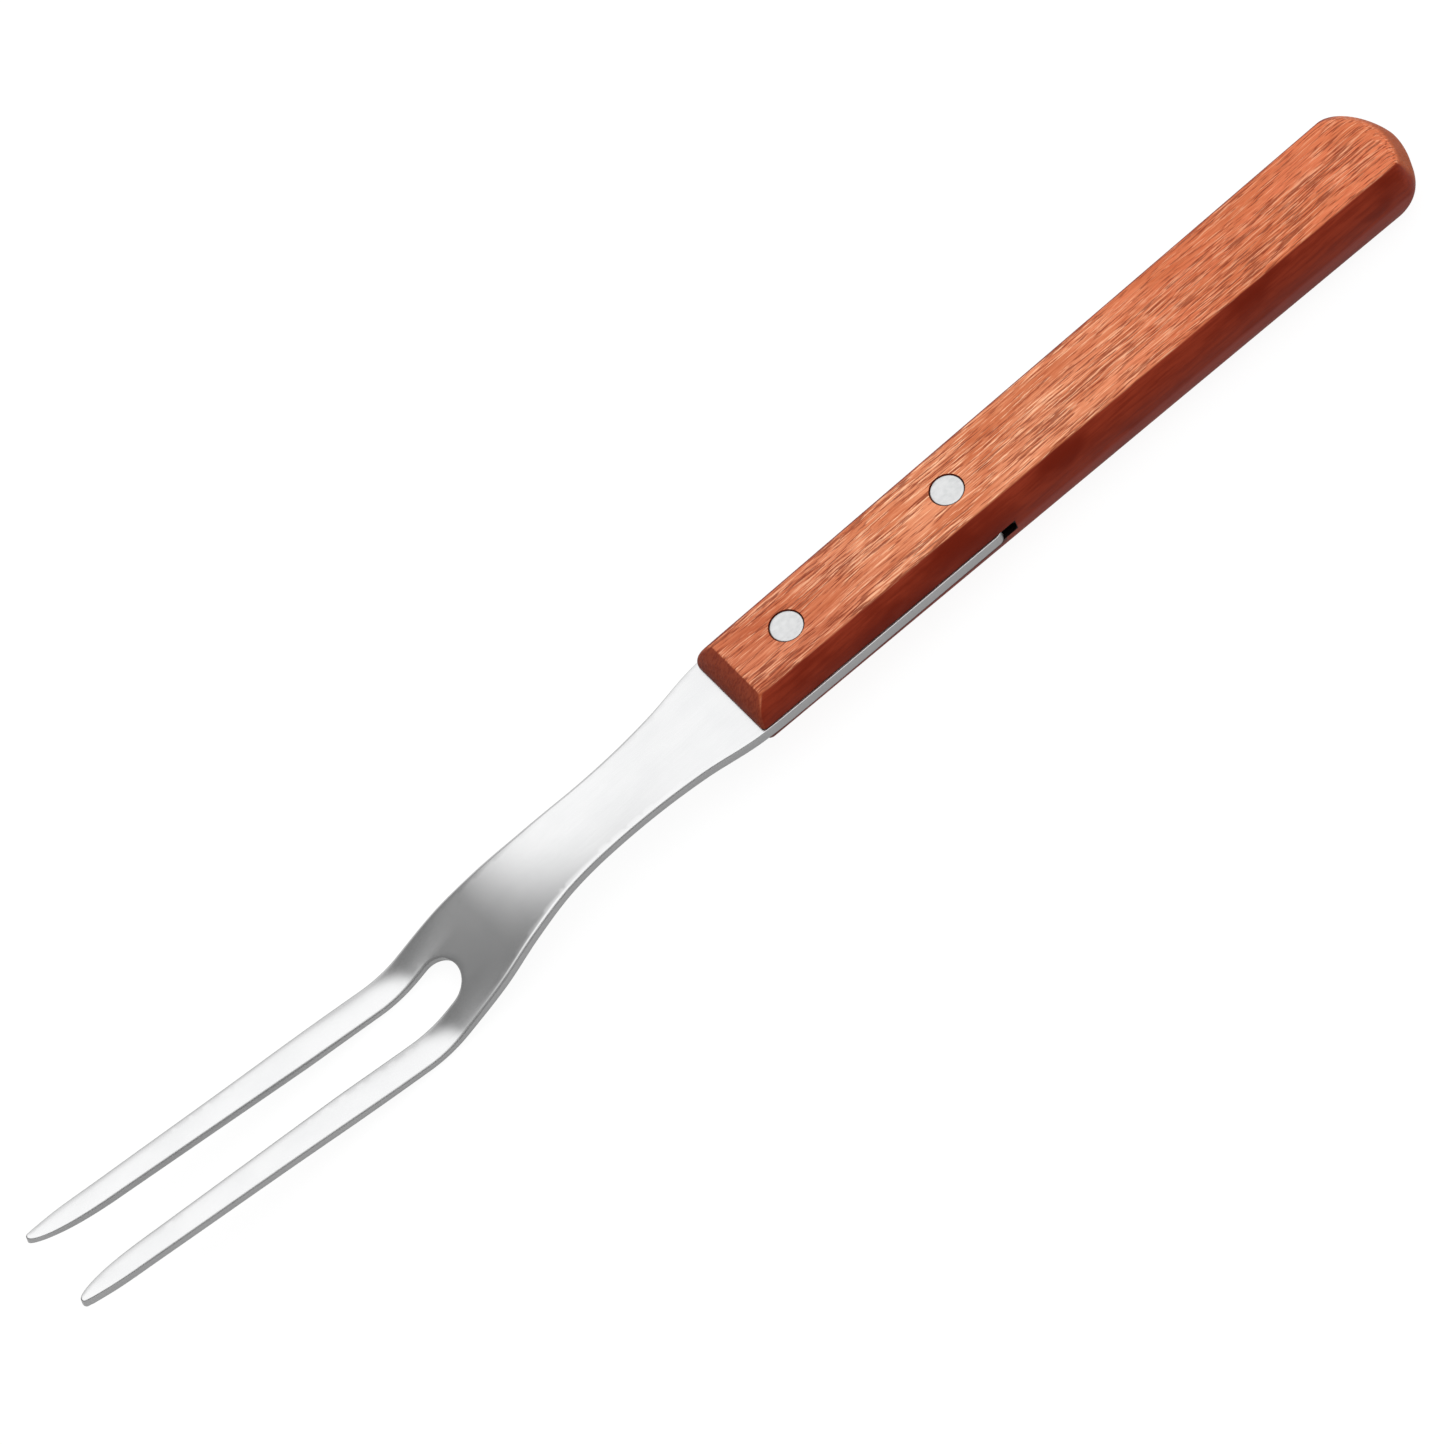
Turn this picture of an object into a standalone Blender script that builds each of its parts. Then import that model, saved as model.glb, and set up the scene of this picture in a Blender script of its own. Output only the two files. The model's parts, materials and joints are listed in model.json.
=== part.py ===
"""A two-tine cook's fork: a stamped steel blade in a slotted wooden handle, held by two rivets.

The design frame has x = 0 at the front rivet, with the tines towards -X and the handle's
rear towards +X, and z = 0 on the upper face of the tang. At the end the whole fork is laid
on the plane z = 0, where it rests on the bend of its crank and on the handle's rear edge.
"""
import math

import bmesh
import bpy
from mathutils import Matrix, Vector

# ---- Driving dimensions, in metres -------------------------------------------------------
SHEET = 0.0025                  # thickness of the steel
GAP = 0.0003                    # clearance between neighbouring pieces

# Blade, side view: straight runs joined by bends.
NECK_START_X = -0.0140
CRANK_TOP_X = -0.0666
CRANK_BOTTOM_X = -0.0990
TIP_X = -0.1815
NECK_DROOP = math.radians(0.7)
CRANK_ANGLE = math.radians(20.2)
TINE_RISE = math.radians(9.1)
NECK_START_BEND = 0.300
CRANK_TOP_BEND = 0.055
CRANK_BOTTOM_BEND = 0.018
BEND_STEPS = 8

# Blade, plan view: half-widths of the outer edge from the tang's end to the tine tip.
TANG_END_X = 0.0432
TANG_CORNER = 0.0020
OUTER_EDGE = (
    (TANG_END_X, 0.01140),
    (-0.0080, 0.01115),
    (-0.0180, 0.01070),
    (-0.0300, 0.00880),
    (-0.0460, 0.00780),
    (-0.0620, 0.00835),
    (-0.0740, 0.00985),
    (-0.0840, 0.01115),
    (-0.0960, 0.01145),
    (-0.1120, 0.01150),
    (-0.1360, 0.01110),
    (-0.1640, 0.01080),
    (-0.1740, 0.01055),
    (TIP_X, 0.00990),
)
OUTER_STEP = 0.0040
SLOT_END_X = -0.0876            # closed end of the gap between the tines
SLOT_RADIUS = 0.00490
SLOT_FLARE_X = -0.1200          # from here the gap widens slowly
TIP_TAPER_X = -0.1620           # from here the inner edge sweeps out to the tip
TIP_TAPER_HALF_GAP = 0.00560
TIP_INNER_Y = 0.00910
TIP_NOSE = 0.00080
TIP_GRIND = 0.0012              # the inner edge is ground thinner from below at the tip
TIP_STEPS = 6
RIM_RADIUS = 0.00050            # rounding of the sheet's edges

# Handle: a block with flat top and bottom faces and bulging sides. Its widest part is a
# narrow upright land, as high as the steel is thick.
HANDLE_TOP_Z = 0.0065
LAND_BOTTOM_Z = -SHEET
HANDLE_BOTTOM_Z = -0.0071       # at the front rivet
HANDLE_BOTTOM_SLOPE = 0.0120    # the handle thickens towards its rear
SIDE_LEVELS = (0.35, 0.6, 0.8, 1.0)     # heights from the land to a face
SIDE_BULGE = 2.15               # exponent of the bulging sides and front
REAR_BULGE = 1.33               # and of the rounder rear end
FACE_HALF_WIDTH = 0.0078        # top and bottom faces, at the front rivet
FACE_TAPER = 0.0088
FACE_FRONT_X = -0.0127
FACE_REAR_X = 0.1477
LAND_HALF_WIDTH = 0.0107        # widest part, at the front rivet
LAND_TAPER = 0.0064
LAND_FRONT_X = -0.0162
LAND_REAR_X = 0.1514
FRONT_CORNER = 0.0010
LAND_REAR_DEPTH = 0.0063        # length of the rounded rear end
FACE_REAR_DEPTH = 0.0072
REAR_ROUNDNESS = 1.64           # exponent of its superellipse
SQUARE_REAR_DEPTH = 0.0032      # the upper face's -Y rear corner is squarer
SQUARE_ROUNDNESS = 2.3
REAR_STEPS = 16
HANDLE_EDGE = 0.0008
SLOT_PAST_TANG = 0.0032         # the sawn slot runs on past the end of the tang

# Rivets: each is a tubular half, with its head on top, over a solid half.
RIVET_SPACING = 0.0400
HEAD_RADIUS = 0.0034
HEAD_DEPTH = 0.0012
HEAD_CHAMFER = 0.0002
HEAD_RECESS = 0.0001
TUBE_RADIUS = 0.0026
TUBE_BORE = 0.0020
TUBE_END_Z = -0.0050
PIN_RADIUS = TUBE_BORE - GAP
PIN_END_Z = 0.0040
TURNED_STEPS = 32


# ---- Helpers -----------------------------------------------------------------------------
def clear_scene():
    for thing in list(bpy.data.objects):
        bpy.data.objects.remove(thing)


def make_material(name, colour, metallic, roughness):
    material = bpy.data.materials.new(name)
    material.use_nodes = True
    shader = material.node_tree.nodes["Principled BSDF"]
    shader.inputs["Base Color"].default_value = (*colour, 1.0)
    shader.inputs["Metallic"].default_value = metallic
    shader.inputs["Roughness"].default_value = roughness
    return material


def make_object(name, mesh_data, frame, material=None):
    mesh = bpy.data.meshes.new(name)
    bmesh.ops.recalc_face_normals(mesh_data, faces=mesh_data.faces)
    mesh_data.to_mesh(mesh)
    mesh_data.free()
    thing = bpy.data.objects.new(name, mesh)
    bpy.context.collection.objects.link(thing)
    thing.parent = frame
    if material:
        mesh.materials.append(material)
    return thing


def add_bevel(thing, width, segments, angle):
    bevel = thing.modifiers.new("edges", "BEVEL")
    bevel.width = width
    bevel.segments = segments
    bevel.limit_method = "ANGLE"
    bevel.angle_limit = angle
    bevel.use_clamp_overlap = False


def add_cut(thing, cutter):
    cutter.hide_render = True
    cutter.display_type = "WIRE"
    cut = thing.modifiers.new(cutter.name, "BOOLEAN")
    cut.operation = "DIFFERENCE"
    cut.object = cutter


def arc(centre, radius, start, end, steps):
    """Points on an arc, from one angle to the other."""
    angles = (start + (end - start) * i / steps for i in range(steps + 1))
    return [(centre[0] + radius * math.cos(a), centre[1] + radius * math.sin(a)) for a in angles]


def interpolate(points, x):
    """Linear interpolation through points whose x grows or falls steadily."""
    rising = sorted(points)
    if x <= rising[0][0]:
        return rising[0][1]
    for (x0, y0), (x1, y1) in zip(rising, rising[1:]):
        if x <= x1:
            return y0 + (y1 - y0) * (x - x0) / (x1 - x0)
    return rising[-1][1]


def smooth_curve(points, step):
    """A smooth curve through the points, sampled about every step along x."""
    slopes = []
    for i in range(len(points)):
        (x0, y0), (x1, y1) = points[max(i - 1, 0)], points[min(i + 1, len(points) - 1)]
        slopes.append((y1 - y0) / (x1 - x0))
    curve = []
    for i in range(len(points) - 1):
        (x0, y0), (x1, y1) = points[i], points[i + 1]
        run = x1 - x0
        count = max(1, round(abs(run) / step))
        for k in range(count):
            t = k / count
            y = (2 * t**3 - 3 * t**2 + 1) * y0 + (3 * t**2 - 2 * t**3) * y1
            y += run * ((t**3 - 2 * t**2 + t) * slopes[i] + (t**3 - t**2) * slopes[i + 1])
            curve.append((x0 + run * t, y))
    return curve + [points[-1]]


def turned(name, outline, frame, material=None, at=(0.0, 0.0, 0.0)):
    """A solid turned about its own z axis from an outline of (radius, height) points."""
    mesh_data = bmesh.new()
    verts = [mesh_data.verts.new((radius, 0.0, height)) for radius, height in outline]
    edges = [mesh_data.edges.new(pair) for pair in zip(verts, verts[1:])]
    bmesh.ops.spin(mesh_data, geom=verts + edges, cent=(0, 0, 0), axis=(0, 0, 1),
                   angle=math.tau, steps=TURNED_STEPS, use_merge=True)
    bmesh.ops.remove_doubles(mesh_data, verts=mesh_data.verts, dist=1e-6)
    thing = make_object(name, mesh_data, frame, material)
    thing.location = at
    thing.data.shade_smooth()
    thing.data.set_sharp_from_angle(angle=math.radians(30))
    return thing


# ---- Blade -------------------------------------------------------------------------------
def side_profile():
    """The upper face seen from the side: points (x, z) from the tang's end to the tips."""
    crank_top_z = -math.tan(NECK_DROOP) * (NECK_START_X - CRANK_TOP_X)
    crank_bottom_z = crank_top_z - math.tan(CRANK_ANGLE) * (CRANK_TOP_X - CRANK_BOTTOM_X)
    tip_z = crank_bottom_z + math.tan(TINE_RISE) * (CRANK_BOTTOM_X - TIP_X)
    corners = [
        (Vector((TANG_END_X, 0.0)), 0.0),
        (Vector((NECK_START_X, 0.0)), NECK_START_BEND),
        (Vector((CRANK_TOP_X, crank_top_z)), CRANK_TOP_BEND),
        (Vector((CRANK_BOTTOM_X, crank_bottom_z)), CRANK_BOTTOM_BEND),
        (Vector((TIP_X, tip_z)), 0.0),
    ]
    points = [tuple(corners[0][0])]
    for (before, _), (corner, radius), (after, _) in zip(corners, corners[1:], corners[2:]):
        arriving = (before - corner).normalized()
        leaving = (after - corner).normalized()
        half_angle = arriving.angle(leaving) / 2
        centre = corner + (arriving + leaving).normalized() * radius / math.sin(half_angle)
        start = corner + arriving * radius / math.tan(half_angle) - centre
        end = corner + leaving * radius / math.tan(half_angle) - centre
        for i in range(BEND_STEPS + 1):
            spoke = start.lerp(end, i / BEND_STEPS).normalized() * radius
            points.append(tuple(centre + spoke))
    for i in range(TIP_STEPS + 1):
        x = TIP_TAPER_X + (TIP_X - TIP_TAPER_X) * i / TIP_STEPS
        points.append((x, tip_z - math.tan(TINE_RISE) * (x - TIP_X)))
    return points


def half_outline():
    """Half of the blade's plan, from the tang's end round one tine to the slot's end."""
    corner_centre = (TANG_END_X - TANG_CORNER, OUTER_EDGE[0][1] - TANG_CORNER)
    points = arc(corner_centre, TANG_CORNER, 0.0, math.pi / 2, 4)
    nose_centre = (TIP_X + TIP_NOSE, OUTER_EDGE[-1][1] - TIP_NOSE)
    outer = smooth_curve(OUTER_EDGE, OUTER_STEP)
    points += [p for p in outer[1:] if p[0] > nose_centre[0] + TIP_NOSE]
    points += arc(nose_centre, TIP_NOSE, math.pi / 2, math.pi, 5)
    sweep_steps = 12
    for i in range(1, sweep_steps + 1):
        angle = math.pi / 2 * (1 - i / sweep_steps)
        x = TIP_TAPER_X - (TIP_TAPER_X - TIP_X) * math.sin(angle)
        y = TIP_INNER_Y - (TIP_INNER_Y - TIP_TAPER_HALF_GAP) * math.cos(angle)
        points.append((x, y))
    points.append((SLOT_FLARE_X, SLOT_RADIUS))
    slot_centre = (SLOT_END_X - SLOT_RADIUS, 0.0)
    return points + arc(slot_centre, SLOT_RADIUS, math.pi / 2, 0.0, 10)


def tip_grind(point):
    """How much of the underside is ground away: most at the inner edge of the tip."""
    along = max(0.0, (TIP_TAPER_X - point.x) / (TIP_TAPER_X - TIP_X))
    outer_y = interpolate(OUTER_EDGE, point.x)
    inwards = (outer_y - abs(point.y)) / (outer_y - TIP_TAPER_HALF_GAP)
    return TIP_GRIND * along**2 * math.sqrt(min(1.0, max(0.0, inwards)))


def bend_to_profile(mesh_data, profile):
    """Bends a flat sheet, whose upper face is at z = 0, to follow the side profile."""
    for x, _ in profile[1:-1]:
        geometry = mesh_data.verts[:] + mesh_data.edges[:] + mesh_data.faces[:]
        bmesh.ops.bisect_plane(mesh_data, geom=geometry, dist=1e-7,
                               plane_co=(x, 0, 0), plane_no=(1, 0, 0))
    slopes = []
    for i, (x, _) in enumerate(profile):
        (x0, z0), (x1, z1) = profile[max(i - 1, 0)], profile[min(i + 1, len(profile) - 1)]
        slopes.append((x, math.atan((z1 - z0) / (x1 - x0))))
    for vert in mesh_data.verts:
        slope = interpolate(slopes, vert.co.x)
        depth = vert.co.z + tip_grind(vert.co) if vert.co.z < 0 else 0.0
        normal = Vector((-math.sin(slope), 0.0, math.cos(slope)))
        upper = Vector((vert.co.x, vert.co.y, interpolate(profile, vert.co.x)))
        vert.co = upper + normal * depth


def make_blade(frame, material):
    half = half_outline()
    loop = half + [(x, -y) for x, y in reversed(half[:-1])]
    mesh_data = bmesh.new()
    top = mesh_data.faces.new([mesh_data.verts.new((x, y, 0.0)) for x, y in loop])
    sides = bmesh.ops.extrude_face_region(mesh_data, geom=[top], use_keep_orig=True)
    lower = [item for item in sides["geom"] if isinstance(item, bmesh.types.BMVert)]
    bmesh.ops.translate(mesh_data, verts=lower, vec=(0, 0, -SHEET))
    bend_to_profile(mesh_data, side_profile())
    blade = make_object("fork_blade", mesh_data, frame, material)
    add_bevel(blade, RIM_RADIUS, 2, math.radians(45))
    return blade


# ---- Handle ------------------------------------------------------------------------------
def handle_bottom(x):
    return HANDLE_BOTTOM_Z - HANDLE_BOTTOM_SLOPE * x


def blend(land_value, face_value, level, bulge=SIDE_BULGE):
    """A value on the bulging side: the land's at level 0, the face's at level 1."""
    return land_value + (face_value - land_value) * level**bulge


def rear_curve(half_width, taper, rear_x, depth, roundness):
    """Half of the rounded rear end at one level, from the side to just before the middle."""
    start = rear_x - depth
    start_y = half_width + taper * start
    points = []
    for i in range(REAR_STEPS):
        angle = math.pi / 2 * (1 - i / REAR_STEPS)
        points.append((start + depth * math.cos(angle) ** (2 / roundness),
                       start_y * math.sin(angle) ** (2 / roundness)))
    return points


def handle_outline(level, upper):
    """The handle's plan at one level, as one closed loop of (x, y) points."""
    half_width = blend(LAND_HALF_WIDTH, FACE_HALF_WIDTH, level)
    taper = blend(LAND_TAPER, FACE_TAPER, level)
    front_x = blend(LAND_FRONT_X, FACE_FRONT_X, level)
    rear_x = blend(LAND_REAR_X, FACE_REAR_X, level, REAR_BULGE)
    rear_depth = blend(LAND_REAR_DEPTH, FACE_REAR_DEPTH, level, REAR_BULGE)
    front_y = half_width + taper * front_x
    front = arc((front_x + FRONT_CORNER, front_y - FRONT_CORNER), FRONT_CORNER,
                math.pi, math.pi / 2, 4)
    far = near = rear_curve(half_width, taper, rear_x, rear_depth, REAR_ROUNDNESS)
    if upper:
        near = rear_curve(half_width, taper, rear_x,
                          blend(LAND_REAR_DEPTH, SQUARE_REAR_DEPTH, level),
                          blend(REAR_ROUNDNESS, SQUARE_ROUNDNESS, level))
    return front + far + [(rear_x, 0.0)] + [(x, -y) for x, y in reversed(front + near)]


def make_handle_block(frame, material):
    mesh_data = bmesh.new()
    rings = []
    levels = (0.0,) + SIDE_LEVELS
    for level in reversed(levels):
        outline = handle_outline(level, upper=True)
        rings.append([mesh_data.verts.new((x, y, HANDLE_TOP_Z * level)) for x, y in outline])
    for level in levels:
        ring = []
        for x, y in handle_outline(level, upper=False):
            z = LAND_BOTTOM_Z + (handle_bottom(x) - LAND_BOTTOM_Z) * level
            ring.append(mesh_data.verts.new((x, y, z)))
        rings.append(ring)
    for upper_ring, lower_ring in zip(rings, rings[1:]):
        for i in range(len(upper_ring)):
            mesh_data.faces.new((upper_ring[i - 1], upper_ring[i], lower_ring[i], lower_ring[i - 1]))
    mesh_data.faces.new(rings[0])
    mesh_data.faces.new(rings[-1])
    handle = make_object("handle", mesh_data, frame, material)
    add_bevel(handle, HANDLE_EDGE, 2, math.radians(30))
    return handle


def make_slot_cutter(frame):
    """The saw slot: open at the front and both sides, with a rounded inner end."""
    front_x = LAND_FRONT_X - 0.005
    end_x = TANG_END_X + SLOT_PAST_TANG
    low_z = -SHEET - GAP
    end_corner = 0.001
    side = [(front_x, low_z), (front_x, GAP)]
    side += arc((end_x - end_corner, GAP - end_corner), end_corner, math.pi / 2, 0.0, 4)
    side += arc((end_x - end_corner, low_z + end_corner), end_corner, 0.0, -math.pi / 2, 4)
    reach = 2 * LAND_HALF_WIDTH
    mesh_data = bmesh.new()
    face = mesh_data.faces.new([mesh_data.verts.new((x, -reach, z)) for x, z in side])
    swept = bmesh.ops.extrude_face_region(mesh_data, geom=[face], use_keep_orig=True)
    far = [item for item in swept["geom"] if isinstance(item, bmesh.types.BMVert)]
    bmesh.ops.translate(mesh_data, verts=far, vec=(0, 2 * reach, 0))
    return make_object("slot_cutter", mesh_data, frame)


def make_bore_cutter(name, frame, x):
    """A rivet's stepped bore: clearance for the tube, and a recess for each head."""
    top = HANDLE_TOP_Z
    bottom = handle_bottom(x)
    head = HEAD_RADIUS + GAP
    tube = TUBE_RADIUS + GAP
    recess = HEAD_RECESS + HEAD_DEPTH + GAP
    past = 0.002
    outline = [(0, top + past), (head, top + past), (head, top - recess), (tube, top - recess),
               (tube, bottom + recess), (head, bottom + recess), (head, bottom - past),
               (0, bottom - past)]
    return turned(name, outline, frame, at=(x, 0, 0))


# ---- Rivets ------------------------------------------------------------------------------
def make_female_half(name, frame, material, x):
    """A tube, open below, under a flat head."""
    top = HANDLE_TOP_Z - HEAD_RECESS
    outline = [
        (0, top),
        (HEAD_RADIUS - HEAD_CHAMFER, top),
        (HEAD_RADIUS, top - HEAD_CHAMFER),
        (HEAD_RADIUS, top - HEAD_DEPTH),
        (TUBE_RADIUS, top - HEAD_DEPTH),
        (TUBE_RADIUS, TUBE_END_Z),
        (TUBE_BORE, TUBE_END_Z),
        (TUBE_BORE, top - HEAD_DEPTH),
        (0, top - HEAD_DEPTH),
    ]
    return turned(name, outline, frame, material, at=(x, 0, 0))


def make_male_half(name, frame, material, x):
    """A solid pin on a flat head, driven up into the tube."""
    bottom = handle_bottom(x) + HEAD_RECESS
    outline = [
        (0, bottom),
        (HEAD_RADIUS - HEAD_CHAMFER, bottom),
        (HEAD_RADIUS, bottom + HEAD_CHAMFER),
        (HEAD_RADIUS, bottom + HEAD_DEPTH),
        (PIN_RADIUS, bottom + HEAD_DEPTH),
        (PIN_RADIUS, PIN_END_Z - HEAD_CHAMFER),
        (PIN_RADIUS - HEAD_CHAMFER, PIN_END_Z),
        (0, PIN_END_Z),
    ]
    return turned(name, outline, frame, material, at=(x, 0, 0))


# ---- Assembly ----------------------------------------------------------------------------
def world_points(thing):
    evaluated = thing.evaluated_get(bpy.context.evaluated_depsgraph_get())
    return [thing.matrix_world @ vert.co for vert in evaluated.data.vertices]


def lay_on_table(frame, blade, handle):
    """Tilts the fork until crank and handle touch the table, and centres it there."""
    bpy.context.view_layer.update()
    blade_points = world_points(blade)
    handle_points = world_points(handle)

    def lowest(points, turn):
        return min((turn @ point).z for point in points)

    low, high = 0.0, math.radians(5)
    for _ in range(40):
        tilt = (low + high) / 2
        turn = Matrix.Rotation(tilt, 3, "Y")
        if lowest(handle_points, turn) > lowest(blade_points, turn):
            low = tilt
        else:
            high = tilt
    turn = Matrix.Rotation(tilt, 3, "Y")
    turned_points = [turn @ point for point in blade_points + handle_points]
    middle_x = (min(p.x for p in turned_points) + max(p.x for p in turned_points)) / 2
    frame.rotation_euler = (0.0, tilt, 0.0)
    frame.location = (-middle_x, 0.0, -min(p.z for p in turned_points))
    bpy.context.view_layer.update()


def main():
    clear_scene()
    steel = make_material("satin_stainless_steel", (0.78, 0.78, 0.78), 1.0, 0.28)
    wood = make_material("reddish_hardwood", (0.46, 0.16, 0.08), 0.0, 0.55)
    rivet_metal = make_material("rivet_aluminium", (0.84, 0.85, 0.86), 1.0, 0.35)

    frame = bpy.data.objects.new("fork_frame", None)
    bpy.context.collection.objects.link(frame)
    blade = make_blade(frame, steel)
    handle = make_handle_block(frame, wood)
    add_cut(handle, make_slot_cutter(frame))
    for place, x in (("front", 0.0), ("rear", RIVET_SPACING)):
        bore = make_bore_cutter(f"bore_{place}_cutter", frame, x)
        add_cut(handle, bore)
        add_cut(blade, bore)
        make_female_half(f"rivet_{place}_female", frame, rivet_metal, x)
        make_male_half(f"rivet_{place}_male", frame, rivet_metal, x)
    lay_on_table(frame, blade, handle)


main()
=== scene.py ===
"""The looks of a two-tine cook's fork: finished surfaces, materials, floor, light and camera.

Shapes are made in the CAD model's design frame, in metres: x = 0 at the front rivet, the tines
towards -X, the handle's rear towards +X, and z = 0 on the upper face of the tang. TO_WORLD
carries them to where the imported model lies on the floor.
"""
import json
import math

import bmesh
import bpy
import numpy as np
from mathutils import Matrix, Vector
from mathutils.geometry import delaunay_2d_cdt


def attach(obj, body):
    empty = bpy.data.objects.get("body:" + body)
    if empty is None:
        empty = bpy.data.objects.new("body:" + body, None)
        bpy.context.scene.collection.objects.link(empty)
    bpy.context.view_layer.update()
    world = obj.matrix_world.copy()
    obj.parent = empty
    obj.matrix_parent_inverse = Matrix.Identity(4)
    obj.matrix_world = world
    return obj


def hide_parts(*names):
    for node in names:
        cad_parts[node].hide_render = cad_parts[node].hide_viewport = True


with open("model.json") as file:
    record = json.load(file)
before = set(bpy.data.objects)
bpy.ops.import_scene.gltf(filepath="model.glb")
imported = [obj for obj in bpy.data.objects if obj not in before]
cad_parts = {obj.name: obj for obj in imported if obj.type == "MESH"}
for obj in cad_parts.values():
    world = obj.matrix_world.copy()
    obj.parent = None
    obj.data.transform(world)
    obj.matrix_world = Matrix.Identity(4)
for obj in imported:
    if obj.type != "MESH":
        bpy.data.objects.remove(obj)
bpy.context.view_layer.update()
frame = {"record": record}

# ---- Driving dimensions, in metres -------------------------------------------------------
SHEET = 0.0025                  # thickness of the steel

# Blade, side view.
NECK_START_X = -0.0140
CRANK_TOP_X = -0.0666
CRANK_BOTTOM_X = -0.0990
TIP_X = -0.1815
NECK_DROOP = math.radians(0.7)
CRANK_ANGLE = math.radians(20.2)
TINE_RISE = math.radians(9.1)
NECK_START_BEND = 0.300
CRANK_TOP_BEND = 0.075          # softer than the CAD's 0.055
CRANK_BOTTOM_BEND = 0.018
BEND_STEPS = 60

# Blade, plan view.
TANG_END_X = 0.0432
TANG_CORNER = 0.0020
OUTER_EDGE = (
    (TANG_END_X, 0.01140),
    (-0.0080, 0.01115),
    (-0.0180, 0.01070),
    (-0.0300, 0.00880),
    (-0.0460, 0.00780),
    (-0.0620, 0.00835),
    (-0.0740, 0.00985),
    (-0.0840, 0.01115),
    (-0.0960, 0.01145),
    (-0.1120, 0.01150),
    (-0.1360, 0.01110),
    (-0.1640, 0.01080),
    (-0.1740, 0.01055),
    (TIP_X, 0.00990),
)
EDGE_STEP = 0.0010
ARC_STEPS = 8                   # for the small corners of any outline
SLOT_END_X = -0.0876
SLOT_RADIUS = 0.00490
SLOT_ARC_STEPS = 14
SLOT_FLARE_X = -0.1200
TIP_TAPER_X = -0.1620
TIP_TAPER_HALF_GAP = 0.00560
TIP_INNER_Y = 0.00910
TIP_NOSE = 0.00080
TIP_SWEEP_STEPS = 36
TIP_GRIND = 0.0012
RIM_RADIUS = 0.00070            # rounding where the faces meet the edges, not in the CAD
TANG_RIM_RADIUS = 0.00018       # much crisper on the tang
RIM_GROWS = (-0.0180, -0.0400)
TIP_RIM_RADIUS = 0.00035        # and finer at the tips
RIM_SHRINKS = (-0.1640, -0.1760)
RIM_STEPS = 5
BEND_CROWN = 0.00032            # how far a tine's faces fall away towards its edges at the bend
TINE_CROWN = 0.00012            # and further out
CROWN_START = (-0.0800, -0.0980)
CROWN_EASES = (-0.1040, -0.1240)
THIN_HALF_WIDTH = 0.0010        # the tine counts as no thinner than this
CRANK_HOLLOW = 0.00034          # how far the crank is pressed hollow across its width
HOLLOW_START = (-0.0280, -0.0540)
HOLLOW_END = (-0.0720, -0.0980)
FACE_GRID = 0.0008              # mesh spacing along the blade's faces
FACE_GRID_ACROSS = 0.8          # spacing across them, as a share of that
FACE_GRID_MARGIN = 0.7          # distance kept from the outline, as a share of that
BLADE_SHARP = 60                # degrees between faces from which an edge is drawn sharp

# Handle.
HANDLE_TOP_Z = 0.0065
LAND_BOTTOM_Z = -SHEET
HANDLE_BOTTOM_Z = -0.0071
HANDLE_BOTTOM_SLOPE = 0.0120
SIDE_BULGE = 2.15
REAR_BULGE = 1.33
FACE_HALF_WIDTH = 0.0078
FACE_TAPER = 0.0088
FACE_FRONT_X = -0.0127
FACE_REAR_X = 0.1477
LAND_HALF_WIDTH = 0.0107
LAND_TAPER = 0.0064
LAND_FRONT_X = -0.0162
LAND_REAR_X = 0.1514
FRONT_CORNER = 0.0010
LAND_REAR_DEPTH = 0.0063
FACE_REAR_DEPTH = 0.0072
REAR_ROUNDNESS = 1.64
SQUARE_REAR_DEPTH = 0.0032      # the upper face's -Y rear corner is squarer
SQUARE_ROUNDNESS = 2.3
SIDE_STEPS = 9
REAR_STEPS = 48
LENGTH_STEPS = 40
CREASE_ROUND = 0.0008           # reach of the rounding between the sides and the flat faces
FRONT_ROUND = 0.0004            # at the front end
REAR_ROUND = 0.0026             # and at the rear end
REAR_ROUND_FALLOFF = 4          # how soon the rear's reach dies out round the corners
CREASE_STEPS = 6
SLOT_PAST_TANG = 0.0028         # a little shorter than in the CAD
SLOT_CORNER = 0.0011
SLOT_LEAD = 0.0050              # how far the slot's cutter sticks out at the front
CUT_PAST = 0.0020               # how far a bore's cutter sticks out of the piece
PIECE_SHARP = 35
FIT_GAP = 0.00006               # what shows between wood and steel

# Rivets.
RIVET_SPACING = 0.0400
HEAD_RADIUS = 0.0034
HEAD_DEPTH = 0.0012
HEAD_ROUND = 0.00030
HEAD_DISH = 0.00006
HEAD_RECESS = 0.0001
HEAD_RING = 0.00016             # dark ring between head and wood
HEAD_STEPS = 6
HEAD_ROUND_STEPS = 5
TUBE_RADIUS = 0.0026
TUBE_BORE = 0.0020
TUBE_END_Z = -0.0050
PIN_RADIUS = 0.0017
PIN_END_Z = 0.0040
TURNED_STEPS = 96

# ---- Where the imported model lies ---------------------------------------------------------
MOUNT_X = 0.100                 # the record's handle_top mount, in the design frame
mount = next(m for m in frame["record"]["mounts"] if m["name"] == "handle_top")
tilt = Matrix.Rotation(math.atan2(mount["axis"][0], mount["axis"][2]), 4, "Y")
TO_WORLD = Matrix.Translation(
    Vector(mount["pos_m"]) - tilt @ Vector((MOUNT_X, 0.0, HANDLE_TOP_Z))) @ tilt


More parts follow.
